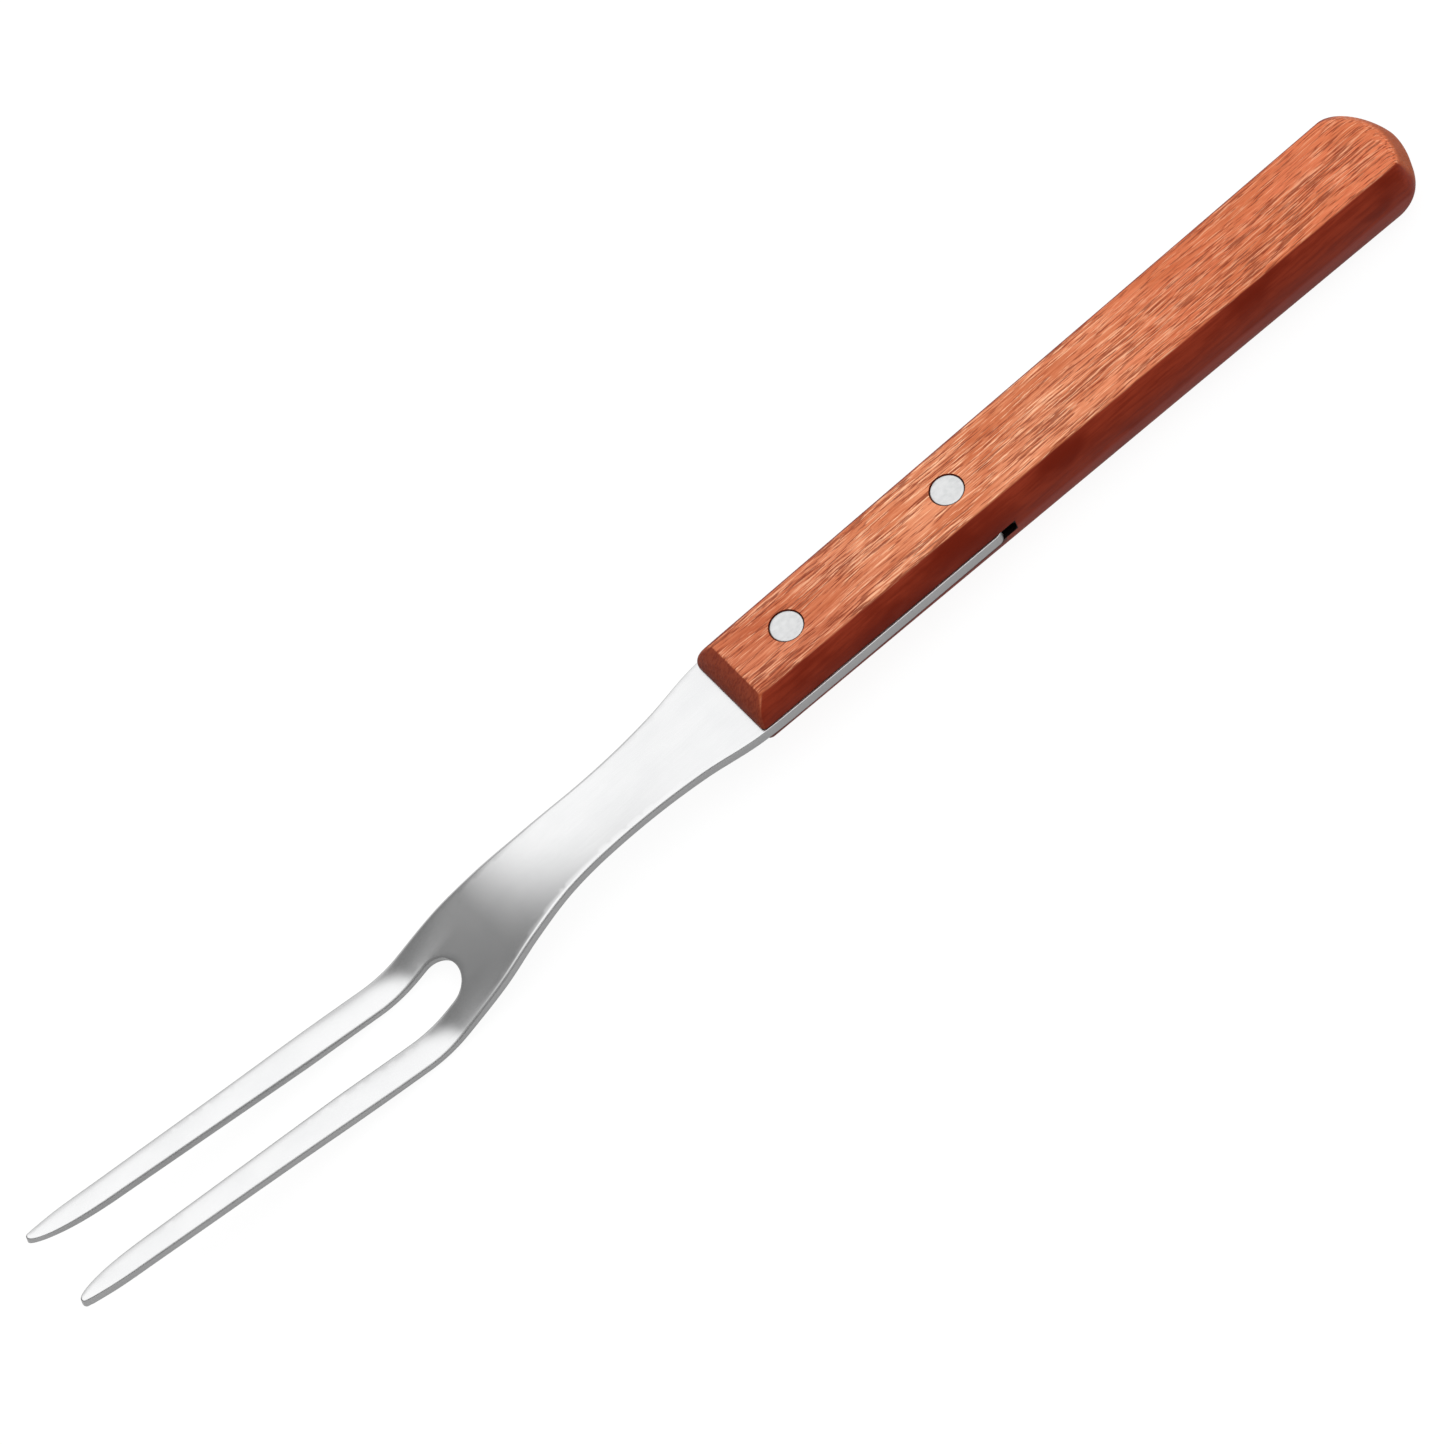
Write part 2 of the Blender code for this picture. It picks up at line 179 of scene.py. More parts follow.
# ---- Mesh helpers ------------------------------------------------------------------------
def make_object(name, mesh_data, material=None):
    """Turns a bmesh in the design frame into an object that lies where the CAD does."""
    mesh = bpy.data.meshes.new(name)
    bmesh.ops.recalc_face_normals(mesh_data, faces=mesh_data.faces)
    mesh_data.to_mesh(mesh)
    mesh_data.free()
    mesh.transform(TO_WORLD)
    thing = bpy.data.objects.new(name, mesh)
    bpy.context.collection.objects.link(thing)
    if material:
        mesh.materials.append(material)
    return thing


def cut(thing, cutters):
    """Takes the cutters out of a piece, then removes them."""
    for cutter in cutters:
        modifier = thing.modifiers.new(cutter.name, "BOOLEAN")
        modifier.operation = "DIFFERENCE"
        modifier.object = cutter
    bpy.context.view_layer.update()
    evaluated = thing.evaluated_get(bpy.context.evaluated_depsgraph_get())
    finished = bpy.data.meshes.new_from_object(evaluated)
    thing.modifiers.clear()
    thing.data = finished
    for cutter in cutters:
        bpy.data.objects.remove(cutter)


def finish_piece(thing, node, sharp=PIECE_SHARP):
    """Shades a finished piece and puts it in the place of its CAD node."""
    thing.data.shade_smooth()
    thing.data.set_sharp_from_angle(angle=math.radians(sharp))
    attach(thing, "root")
    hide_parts(node)


def arc(centre, radius, start, end, steps):
    angles = (start + (end - start) * i / steps for i in range(steps + 1))
    return [(centre[0] + radius * math.cos(a), centre[1] + radius * math.sin(a)) for a in angles]


def smooth_step(start, end, value):
    t = np.clip((np.asarray(value) - start) / (end - start), 0.0, 1.0)
    return t * t * (3 - 2 * t)


def smooth_curve(points, step):
    """A smooth curve through the points, sampled about every step along x."""
    slopes = []
    for i in range(len(points)):
        (x0, y0), (x1, y1) = points[max(i - 1, 0)], points[min(i + 1, len(points) - 1)]
        slopes.append((y1 - y0) / (x1 - x0))
    curve = []
    for i in range(len(points) - 1):
        (x0, y0), (x1, y1) = points[i], points[i + 1]
        run = x1 - x0
        count = max(1, round(abs(run) / step))
        for k in range(count):
            t = k / count
            y = (2 * t**3 - 3 * t**2 + 1) * y0 + (3 * t**2 - 2 * t**3) * y1
            y += run * ((t**3 - 2 * t**2 + t) * slopes[i] + (t**3 - t**2) * slopes[i + 1])
            curve.append((x0 + run * t, y))
    return curve + [points[-1]]


def turned(name, outline, at_x=0.0, material=None):
    """A solid turned about an upright axis from an outline of (radius, height) points."""
    mesh_data = bmesh.new()
    verts = [mesh_data.verts.new((radius, 0.0, height)) for radius, height in outline]
    edges = [mesh_data.edges.new(pair) for pair in zip(verts, verts[1:])]
    bmesh.ops.spin(mesh_data, geom=verts + edges, cent=(0, 0, 0), axis=(0, 0, 1),
                   angle=math.tau, steps=TURNED_STEPS, use_merge=True)
    bmesh.ops.remove_doubles(mesh_data, verts=mesh_data.verts, dist=1e-7)
    bmesh.ops.translate(mesh_data, verts=mesh_data.verts, vec=(at_x, 0, 0))
    return make_object(name, mesh_data, material)


# ---- Blade -------------------------------------------------------------------------------
def side_profile():
    """The upper face seen from the side: points (x, z) from the tang's end to the tips."""
    crank_top_z = -math.tan(NECK_DROOP) * (NECK_START_X - CRANK_TOP_X)
    crank_bottom_z = crank_top_z - math.tan(CRANK_ANGLE) * (CRANK_TOP_X - CRANK_BOTTOM_X)
    tip_z = crank_bottom_z + math.tan(TINE_RISE) * (CRANK_BOTTOM_X - TIP_X)
    corners = [
        (Vector((TANG_END_X, 0.0)), 0.0),
        (Vector((NECK_START_X, 0.0)), NECK_START_BEND),
        (Vector((CRANK_TOP_X, crank_top_z)), CRANK_TOP_BEND),
        (Vector((CRANK_BOTTOM_X, crank_bottom_z)), CRANK_BOTTOM_BEND),
        (Vector((TIP_X, tip_z)), 0.0),
    ]
    points = [tuple(corners[0][0])]
    for (before, _), (corner, radius), (after, _) in zip(corners, corners[1:], corners[2:]):
        arriving = (before - corner).normalized()
        leaving = (after - corner).normalized()
        half_angle = arriving.angle(leaving) / 2
        centre = corner + (arriving + leaving).normalized() * radius / math.sin(half_angle)
        start = corner + arriving * radius / math.tan(half_angle) - centre
        end = corner + leaving * radius / math.tan(half_angle) - centre
        for i in range(BEND_STEPS + 1):
            spoke = start.lerp(end, i / BEND_STEPS).normalized() * radius
            points.append(tuple(centre + spoke))
    return points + [tuple(corners[-1][0])]


def half_outline():
    """Half of the blade's plan, from the tang's end round one tine to the slot's end."""
    corner_centre = (TANG_END_X - TANG_CORNER, OUTER_EDGE[0][1] - TANG_CORNER)
    points = arc(corner_centre, TANG_CORNER, 0.0, math.pi / 2, ARC_STEPS)
    nose_centre = (TIP_X + TIP_NOSE, OUTER_EDGE[-1][1] - TIP_NOSE)
    outer = smooth_curve(OUTER_EDGE, EDGE_STEP)
    points += [p for p in outer if nose_centre[0] + TIP_NOSE / 2 < p[0] < corner_centre[0]]
    points += arc(nose_centre, TIP_NOSE, math.pi / 2, math.pi, ARC_STEPS)
    for i in range(1, TIP_SWEEP_STEPS + 1):
        angle = math.pi / 2 * (1 - i / TIP_SWEEP_STEPS)
        x = TIP_TAPER_X - (TIP_TAPER_X - TIP_X) * math.sin(angle)
        y = TIP_INNER_Y - (TIP_INNER_Y - TIP_TAPER_HALF_GAP) * math.cos(angle)
        points.append((x, y))
    inner = [(TIP_TAPER_X, TIP_TAPER_HALF_GAP), (SLOT_FLARE_X, SLOT_RADIUS),
             (SLOT_END_X - SLOT_RADIUS, SLOT_RADIUS)]
    for (x0, y0), (x1, y1) in zip(inner, inner[1:]):
        steps = round((x1 - x0) / EDGE_STEP)
        points += [(x0 + (x1 - x0) * i / steps, y0 + (y1 - y0) * i / steps)
                   for i in range(1, steps)]
    slot_centre = (SLOT_END_X - SLOT_RADIUS, 0.0)
    return points + arc(slot_centre, SLOT_RADIUS, math.pi / 2, 0.0, SLOT_ARC_STEPS)


def inset_loop(loop, distance):
    """Moves each point of a closed loop inwards, square to the loop there."""
    along = np.roll(loop, -1, axis=0) - np.roll(loop, 1, axis=0)
    along /= np.linalg.norm(along, axis=1)[:, None]
    return loop + distance[:, None] * np.column_stack((-along[:, 1], along[:, 0]))


def inside(points, loop):
    """Which points lie in a closed loop, and how far they are from its nearest corner."""
    x, y = points[:, 0:1], points[:, 1:2]
    x0, y0 = loop[:, 0], loop[:, 1]
    x1, y1 = np.roll(x0, -1), np.roll(y0, -1)
    spans = (y0 > y) != (y1 > y)
    rise = np.where(y1 == y0, 1.0, y1 - y0)
    crossings = spans & (x < (x1 - x0) * (y - y0) / rise + x0)
    nearest = np.sqrt(((x - x0) ** 2 + (y - y0) ** 2).min(axis=1))
    return crossings.sum(axis=1) % 2 == 1, nearest


def filled(loop):
    """Points and triangles that fill a closed loop, its own points first."""
    low, high = loop.min(axis=0), loop.max(axis=0)
    xs = np.arange(low[0], high[0], FACE_GRID)
    ys = np.arange(-high[1], high[1] + FACE_GRID / 2, FACE_GRID * FACE_GRID_ACROSS)
    lattice = np.array([(x, y) for x in xs for y in ys])
    within, nearest = inside(lattice, loop)
    lattice = lattice[within & (nearest > FACE_GRID * FACE_GRID_MARGIN)]
    points = np.vstack((loop, lattice))
    made = delaunay_2d_cdt([Vector(p) for p in points], [], [list(range(len(loop)))], 1, 1e-9)
    came_from = [origins[0] for origins in made[3]]
    return points, [[came_from[v] for v in triangle] for triangle in made[2]]


def inner_edge(x):
    """Half the gap between the tines."""
    half_gap = np.interp(x, (TIP_TAPER_X, SLOT_FLARE_X), (TIP_TAPER_HALF_GAP, SLOT_RADIUS))
    run = np.clip((TIP_TAPER_X - x) / (TIP_TAPER_X - TIP_X), 0.0, 1.0)
    return half_gap + (TIP_INNER_Y - TIP_TAPER_HALF_GAP) * (1 - np.sqrt(1 - run**2))


def crown(x, y, outer_y):
    """How far a tine's faces have fallen away at a point, by its place across the tine."""
    inner_y = inner_edge(x)
    half_width = np.maximum((outer_y - inner_y) / 2, THIN_HALF_WIDTH)
    across = np.clip((np.abs(y) - (outer_y + inner_y) / 2) / half_width, -1.0, 1.0)
    height = BEND_CROWN + (TINE_CROWN - BEND_CROWN) * smooth_step(*CROWN_EASES, x)
    return height * across**2 * smooth_step(*CROWN_START, x)


def hollow(x, y, outer_y):
    """How far the neck and crank are pressed down at a point, most in the middle."""
    across = np.clip(y / outer_y, -1.0, 1.0)
    pressed = smooth_step(*HOLLOW_START, x) * (1 - smooth_step(*HOLLOW_END, x))
    return CRANK_HOLLOW * (1 - across**2) * pressed


def rim_rings(loop):
    """Rings round the blade's edge, from the upper face's outline to the lower face's."""
    x = loop[:, 0]
    radius = TANG_RIM_RADIUS + (RIM_RADIUS - TANG_RIM_RADIUS) * smooth_step(*RIM_GROWS, x)
    radius += (TIP_RIM_RADIUS - RIM_RADIUS) * smooth_step(*RIM_SHRINKS, x)
    rings = []
    for i in range(RIM_STEPS + 1):
        turn = math.pi / 2 * i / RIM_STEPS
        rings.append((radius * (1 - math.sin(turn)), radius * (1 - math.cos(turn))))
    rings += [(inset, SHEET - depth) for inset, depth in reversed(rings)]
    return [np.column_stack((inset_loop(loop, inset), depth)) for inset, depth in rings]


def flat_blade():
    """The unbent blade: points (x, y, depth below the upper face), and its faces."""
    half = half_outline()
    loop = np.array(half + [(x, -y) for x, y in reversed(half[:-1])])
    parts = rim_rings(loop)
    rings, count = len(parts), len(loop)
    faces = []
    for base in range(0, (rings - 1) * count, count):
        for i in range(count):
            j = (i + 1) % count
            faces.append((base + i, base + j, base + count + j, base + count + i))
    for ring, depth in ((0, 0.0), (rings - 1, SHEET)):
        points, triangles = filled(parts[ring][:, :2])
        start = sum(len(part) for part in parts)
        extra = points[count:]
        parts.append(np.column_stack((extra, np.full(len(extra), depth))))
        for triangle in triangles:
            faces.append([ring * count + v if v < count else start + v - count
                          for v in triangle])
    return np.vstack(parts), faces


def pressed_depth(x, y, depth):
    """The depth of each point once the tips are ground and the faces are pressed."""
    curve = np.array(sorted(smooth_curve(OUTER_EDGE, EDGE_STEP)))
    outer_y = np.interp(x, curve[:, 0], curve[:, 1])
    share = depth / SHEET
    along = np.clip((TIP_TAPER_X - x) / (TIP_TAPER_X - TIP_X), 0.0, 1.0)
    inwards = np.clip((outer_y - np.abs(y)) / (outer_y - TIP_TAPER_HALF_GAP), 0.0, 1.0)
    depth = depth - TIP_GRIND * along**2 * np.sqrt(inwards) * share
    return depth + crown(x, y, outer_y) * (1 - 2 * share) + hollow(x, y, outer_y)


def bent_to_profile(x, y, depth):
    """Wraps the flat blade round its side profile."""
    profile = np.array(sorted(side_profile()))
    slopes = np.arctan(np.gradient(profile[:, 1], profile[:, 0]))
    slope = np.interp(x, profile[:, 0], slopes)
    height = np.interp(x, profile[:, 0], profile[:, 1])
    return np.column_stack((x + np.sin(slope) * depth, y, height - np.cos(slope) * depth))


def make_blade(material):
    flat, faces = flat_blade()
    x, y, depth = flat.T
    mesh_data = bmesh.new()
    verts = [mesh_data.verts.new(p) for p in bent_to_profile(x, y, pressed_depth(x, y, depth))]
    for face in faces:
        mesh_data.faces.new([verts[v] for v in face])
    blade = make_object("blade_polished", mesh_data, material)
    hole = TUBE_RADIUS + FIT_GAP
    outline = [(0, CUT_PAST), (hole, CUT_PAST), (hole, -SHEET - CUT_PAST), (0, -SHEET - CUT_PAST)]
    cut(blade, [turned(f"hole_{i}", outline, at_x=i * RIVET_SPACING) for i in range(2)])
    finish_piece(blade, "fork_blade", sharp=BLADE_SHARP)


# ---- Handle ------------------------------------------------------------------------------
def handle_bottom(x):
    return HANDLE_BOTTOM_Z - HANDLE_BOTTOM_SLOPE * x


def blend(land_value, face_value, level, bulge=SIDE_BULGE):
    """A value on the bulging side: the land's at level 0, the face's at level 1."""
    return land_value + (face_value - land_value) * level**bulge


def rear_half(half_width, taper, side_start, rear_x, depth, roundness):
    """One side and half of the rounded rear end, up to just before the middle."""
    start = rear_x - depth
    start_y = half_width + taper * start
    points = []
    for i in range(1, LENGTH_STEPS):
        x = side_start + (start - side_start) * i / LENGTH_STEPS
        points.append((x, half_width + taper * x))
    for i in range(REAR_STEPS):
        angle = math.pi / 2 * (1 - i / REAR_STEPS)
        points.append((start + depth * math.cos(angle) ** (2 / roundness),
                       start_y * math.sin(angle) ** (2 / roundness)))
    return points


def handle_outline(level, upper):
    """The handle's plan at one level, as one closed loop of (x, y) points."""
    half_width = blend(LAND_HALF_WIDTH, FACE_HALF_WIDTH, level)
    taper = blend(LAND_TAPER, FACE_TAPER, level)
    front_x = blend(LAND_FRONT_X, FACE_FRONT_X, level)
    rear_x = blend(LAND_REAR_X, FACE_REAR_X, level, REAR_BULGE)
    rear_depth = blend(LAND_REAR_DEPTH, FACE_REAR_DEPTH, level, REAR_BULGE)
    front_y = half_width + taper * front_x
    front = [(front_x, front_y / 2)]
    front += arc((front_x + FRONT_CORNER, front_y - FRONT_CORNER), FRONT_CORNER,
                 math.pi, math.pi / 2, ARC_STEPS)
    side = (half_width, taper, front_x + FRONT_CORNER, rear_x)
    far = near = rear_half(*side, rear_depth, REAR_ROUNDNESS)
    if upper:
        near = rear_half(*side, blend(LAND_REAR_DEPTH, SQUARE_REAR_DEPTH, level),
                         blend(REAR_ROUNDNESS, SQUARE_ROUNDNESS, level))
    mirrored = [(x, -y) for x, y in reversed(front + near)]
    return [(front_x, 0.0)] + front + far + [(rear_x, 0.0)] + mirrored


def side_point(level, i, upper, outlines):
    """Point i of one level's outline, at its height on the upper or lower half."""
    x, y = outlines(level)[i]
    if upper:
        return Vector((x, y, HANDLE_TOP_Z * level))
    return Vector((x, y, LAND_BOTTOM_Z + (handle_bottom(x) - LAND_BOTTOM_Z) * level))


def crease_reach(inward):
    """How far the rounding at a flat face's rim reaches, by the rim's inward direction."""
    to_front, to_rear = max(inward.x, 0.0), max(-inward.x, 0.0)
    reach = CREASE_ROUND + (FRONT_ROUND - CREASE_ROUND) * to_front
    return reach + (REAR_ROUND - CREASE_ROUND) * to_rear**REAR_ROUND_FALLOFF


def handle_half(upper):
    """Rings of points from the land to the rounded rim of the top or bottom face."""
    known = {}

    def outlines(level):
        key = round(level, 6)
        if key not in known:
            known[key] = handle_outline(key, upper)
        return known[key]

    face = outlines(1.0)
    count = len(face)
    slant = math.hypot(HANDLE_TOP_Z, SIDE_BULGE * (LAND_HALF_WIDTH - FACE_HALF_WIDTH))
    rings = [[] for _ in range(SIDE_STEPS + CREASE_STEPS + 1)]
    for i in range(count):
        (xa, ya), (xb, yb) = face[i - 1], face[(i + 1) % count]
        inward = Vector((yb - ya, xa - xb, 0.0)).normalized()
        reach = crease_reach(inward)
        stop = 1 - reach / slant
        for k in range(SIDE_STEPS + 1):
            rings[k].append(side_point(stop * k / SIDE_STEPS, i, upper, outlines))
        corner = side_point(1.0, i, upper, outlines)
        flat = corner + inward * reach
        if not upper:
            flat.z = handle_bottom(flat.x)
        for k in range(1, CREASE_STEPS + 1):
            t = k / CREASE_STEPS
            first = rings[SIDE_STEPS][-1].lerp(corner, t)
            rings[SIDE_STEPS + k].append(first.lerp(corner.lerp(flat, t), t))
    return rings


def make_slot_cutter():
    """The saw slot: open at the front and both sides, with a rounded inner end."""
    front_x = LAND_FRONT_X - SLOT_LEAD
    corner_x = TANG_END_X + SLOT_PAST_TANG - SLOT_CORNER
    low_z = -SHEET - FIT_GAP
    side = [(front_x, low_z), (front_x, FIT_GAP)]
    side += arc((corner_x, FIT_GAP - SLOT_CORNER), SLOT_CORNER, math.pi / 2, 0.0, ARC_STEPS)
    side += arc((corner_x, low_z + SLOT_CORNER), SLOT_CORNER, 0.0, -math.pi / 2, ARC_STEPS)
    reach = 2 * LAND_HALF_WIDTH
    mesh_data = bmesh.new()
    face = mesh_data.faces.new([mesh_data.verts.new((x, -reach, z)) for x, z in side])
    swept = bmesh.ops.extrude_face_region(mesh_data, geom=[face], use_keep_orig=True)
    far = [item for item in swept["geom"] if isinstance(item, bmesh.types.BMVert)]
    bmesh.ops.translate(mesh_data, verts=far, vec=(0, 2 * reach, 0))
    return make_object("slot_cutter", mesh_data)


def make_bore_cutter(index):
    """A rivet's stepped bore, a little wider than the head, so that a dark ring shows."""
    x = index * RIVET_SPACING
    top, bottom = HANDLE_TOP_Z, handle_bottom(x)
    head = HEAD_RADIUS + HEAD_RING
    tube = TUBE_RADIUS + FIT_GAP
    recess = HEAD_RECESS + HEAD_DEPTH + FIT_GAP
    above, below = top + CUT_PAST, bottom - CUT_PAST
    outline = [(0, above), (head, above), (head, top - recess), (tube, top - recess),
               (tube, bottom + recess), (head, bottom + recess), (head, below), (0, below)]
    return turned(f"bore_{index}", outline, at_x=x)


def make_handle(material):
    mesh_data = bmesh.new()
    rings = [[mesh_data.verts.new(p) for p in ring] for ring in reversed(handle_half(True))]
    rings += [[mesh_data.verts.new(p) for p in ring] for ring in handle_half(False)]
    for upper_ring, lower_ring in zip(rings, rings[1:]):
        for i in range(len(upper_ring)):
            mesh_data.faces.new((upper_ring[i - 1], upper_ring[i], lower_ring[i], lower_ring[i - 1]))
    mesh_data.faces.new(rings[0])
    mesh_data.faces.new(rings[-1])
    handle = make_object("handle_oiled", mesh_data, material)
    cut(handle, [make_slot_cutter(), make_bore_cutter(0), make_bore_cutter(1)])
    finish_piece(handle, "handle")


# ---- Rivets ------------------------------------------------------------------------------
def head_outline(face_z, inwards):
    """A head's dished face and rounded rim; inwards is +1 or -1, towards the stem."""
    points = []
    for i in range(HEAD_STEPS):
        radius = (HEAD_RADIUS - HEAD_ROUND) * i / HEAD_STEPS
        dish = HEAD_DISH * (1 - (radius / HEAD_RADIUS) ** 2)
        points.append((radius, face_z + inwards * dish))
    for r, z in arc((HEAD_RADIUS - HEAD_ROUND, HEAD_ROUND), HEAD_ROUND, -math.pi / 2, 0.0,
                    HEAD_ROUND_STEPS):
        points.append((r, face_z + inwards * z))
    return points + [(HEAD_RADIUS, face_z + inwards * HEAD_DEPTH)]


def make_rivet(place, x, material):
    top = HANDLE_TOP_Z - HEAD_RECESS
    tube = head_outline(top, -1) + [
        (TUBE_RADIUS, top - HEAD_DEPTH),
        (TUBE_RADIUS, TUBE_END_Z),
        (TUBE_BORE, TUBE_END_Z),
        (TUBE_BORE, top - HEAD_DEPTH),
        (0, top - HEAD_DEPTH),
    ]
    female = turned(f"rivet_{place}_upper_half", tube, x, material)
    finish_piece(female, f"rivet_{place}_female")
    bottom = handle_bottom(x) + HEAD_RECESS
    pin = head_outline(bottom, 1) + [
        (PIN_RADIUS, bottom + HEAD_DEPTH),
        (PIN_RADIUS, PIN_END_Z),
        (0, PIN_END_Z),
    ]
    male = turned(f"rivet_{place}_lower_half", pin, x, material)
    finish_piece(male, f"rivet_{place}_male")


# ---- Materials ---------------------------------------------------------------------------
class Nodes:
    """A node tree, with short calls for the nodes that are needed here."""

    def __init__(self, tree):
        self.tree = tree

    def add(self, kind, inputs=None, output=0, **settings):
        node = self.tree.nodes.new(kind)
        for key, value in settings.items():
            setattr(node, key, value)
        for key, value in (inputs or {}).items():
            self.put(node.inputs[key], value)
        return node.outputs[output]

    def put(self, socket, value):
        if isinstance(value, bpy.types.NodeSocket):
            self.tree.links.new(value, socket)
        else:
            socket.default_value = value

    def math(self, operation, a, b=0.0):
        return self.add("ShaderNodeMath", {0: a, 1: b}, operation=operation)

    def within(self, value, middle, half_span):
        """1 where the value is in the span about the middle, 0 elsewhere."""
        return self.add("ShaderNodeMath", {0: value, 1: middle, 2: half_span},
                        operation="COMPARE")

    def scaled(self, vector, scale):
        return self.add("ShaderNodeVectorMath", {0: vector, 1: scale}, operation="MULTIPLY")

    def noise(self, vector, scale, detail=2.0, roughness=0.5, shift=0.0):
        """Noise whose scale is a number of waves per metre along each axis."""
        moved = self.add("ShaderNodeVectorMath", {0: vector, 1: (shift, shift, shift)},
                         operation="ADD")
        return self.add("ShaderNodeTexNoise", {
            "Vector": self.scaled(moved, scale), "Scale": 1.0, "Detail": detail,
            "Roughness": roughness})

    def ramp(self, value, low, high, to_low=0.0, to_high=1.0):
        return self.add("ShaderNodeMapRange", {
            "Value": value, "From Min": low, "From Max": high, "To Min": to_low,
            "To Max": to_high}, interpolation_type="SMOOTHSTEP")

    def mix(self, factor, a, b, blend_type="MIX"):
        node = self.tree.nodes.new("ShaderNodeMix")
        node.data_type = "RGBA"
        node.blend_type = blend_type
        self.put(node.inputs[0], factor)
        for socket, value in ((node.inputs[6], a), (node.inputs[7], b)):
            self.put(socket, (*value, 1.0) if isinstance(value, tuple) else value)
        return node.outputs[2]

    def axis(self, vector, name):
        node = self.tree.nodes.new("ShaderNodeSeparateXYZ")
        self.put(node.inputs[0], vector)
        return node.outputs[name]


class Shader(Nodes):
    """A new node material."""

    def __init__(self, name):
        self.material = bpy.data.materials.new(name)
        self.material.use_nodes = True
        super().__init__(self.material.node_tree)
        self.principled = self.tree.nodes["Principled BSDF"]

    def place(self):
        """Where a point of the piece is in the design frame."""
        return self.add("ShaderNodeMapping", {
            "Vector": self.add("ShaderNodeTexCoord", output="Object"),
            "Location": TO_WORLD.to_translation(),
            "Rotation": TO_WORLD.to_euler()}, vector_type="TEXTURE")

    def facing(self, name):
        """One coordinate of the direction that the surface faces."""
        return self.axis(self.add("ShaderNodeNewGeometry", output="Normal"), name)

    def bump(self, height, strength, distance):
        normal = self.add("ShaderNodeBump", {
            "Height": height, "Strength": strength, "Distance": distance})
        self.put(self.principled.inputs["Normal"], normal)

    def principal(self, **values):
        for key, value in values.items():
            self.put(self.principled.inputs[key.replace("_", " ").title()], value)


# Colours are linear. Pairs are for the front and rear of the handle, or the two ends of a mix.
WOOD_SWAY = 0.0018              # how far the grain wanders from a straight line, in metres
WOOD_CHANGES = (0.060, 0.105)   # where the front colours give way to the rear ones
WOOD_DARK = ((0.448, 0.099, 0.035), (0.466, 0.087, 0.028))
WOOD_LIGHT = ((0.767, 0.286, 0.146), (0.678, 0.168, 0.071))
WOOD_BLOTCH = (0.496, 0.104, 0.031)
WOOD_FLECK = (0.960, 0.555, 0.342)
WOOD_PORE = (0.200, 0.018, 0.002)
WOOD_FIBRE = (0.755, 0.307, 0.142)
WOOD_STAIN = (0.74, 0.52, 0.48)     # multiplies the colour near the front end
STAIN_FADES = (0.012, 0.048)
STAIN_WANDERS = 0.030
# Painted shade: the long sides get a darker, redder copy of the face colour.
WOOD_SIDE_PAINTED_SHADE = ((0.197, 0.018, 0.005), (0.265, 0.030, 0.010))
WOOD_SIDE_BLOTCH_PAINTED_SHADE = (0.156, 0.010, 0.001)
# Painted bounce light: the lowest band of the sides is paler, as if lit from the floor.
WOOD_LAND_PAINTED_BOUNCE = (0.299, 0.082, 0.068)
BOUNCE_LIGHT_FADES = (-0.0010, -0.0024)
WOOD_FRONT_END = ((0.275, 0.050, 0.022), (0.206, 0.030, 0.013))
WOOD_REAR_END = (0.336, 0.067, 0.017)
# Painted shadow: the wood just below the tang is darkened.
PAINTED_SHADOW_BELOW_TANG = (0.055, 0.042, 0.036)
SHADOW_BELOW_TANG_FADES = (-0.0042, -0.0028)
# Painted shade: the wood's cut faces inside the slot are near black.
PAINTED_SHADE_IN_SLOT = (0.004, 0.001, 0.001)


def wood_noises(s, place):
    """The grain's noises, stretched along X and swaying a little, by name."""
    sway = s.add("ShaderNodeTexNoise", {
        "Vector": s.scaled(place, (28.0, 90.0, 90.0)), "Scale": 1.0, "Detail": 2.0}, output="Color")
    sway = s.add("ShaderNodeVectorMath", {0: sway, 1: (0.5, 0.5, 0.5)}, operation="SUBTRACT")
    sway = s.scaled(sway, (0.0, WOOD_SWAY, WOOD_SWAY))
    grain = s.add("ShaderNodeVectorMath", {0: place, 1: sway}, operation="ADD")
    crowds = s.noise(grain, (45.0, 260.0, 260.0), 1.0, shift=3.7)
    return {
        "bands": s.noise(grain, (24.0, 330.0, 330.0), 3.0),
        "streaks": s.noise(grain, (110.0, 2300.0, 1100.0), 4.0, 0.65, shift=0.3),
        "fibres": s.noise(grain, (420.0, 6000.0, 2500.0), 2.0, shift=0.7),
        "blotches": s.noise(place, (70.0, 130.0, 130.0), 2.0, shift=1.3),
        "pores": s.noise(grain, (180.0, 2900.0, 1300.0), 2.0, 0.6, shift=2.1),
        "flecks": s.noise(grain, (150.0, 3300.0, 1300.0), 2.0, 0.6, shift=4.9),
        "crowd": s.ramp(crowds, 0.35, 0.65, -0.040, 0.040),
    }


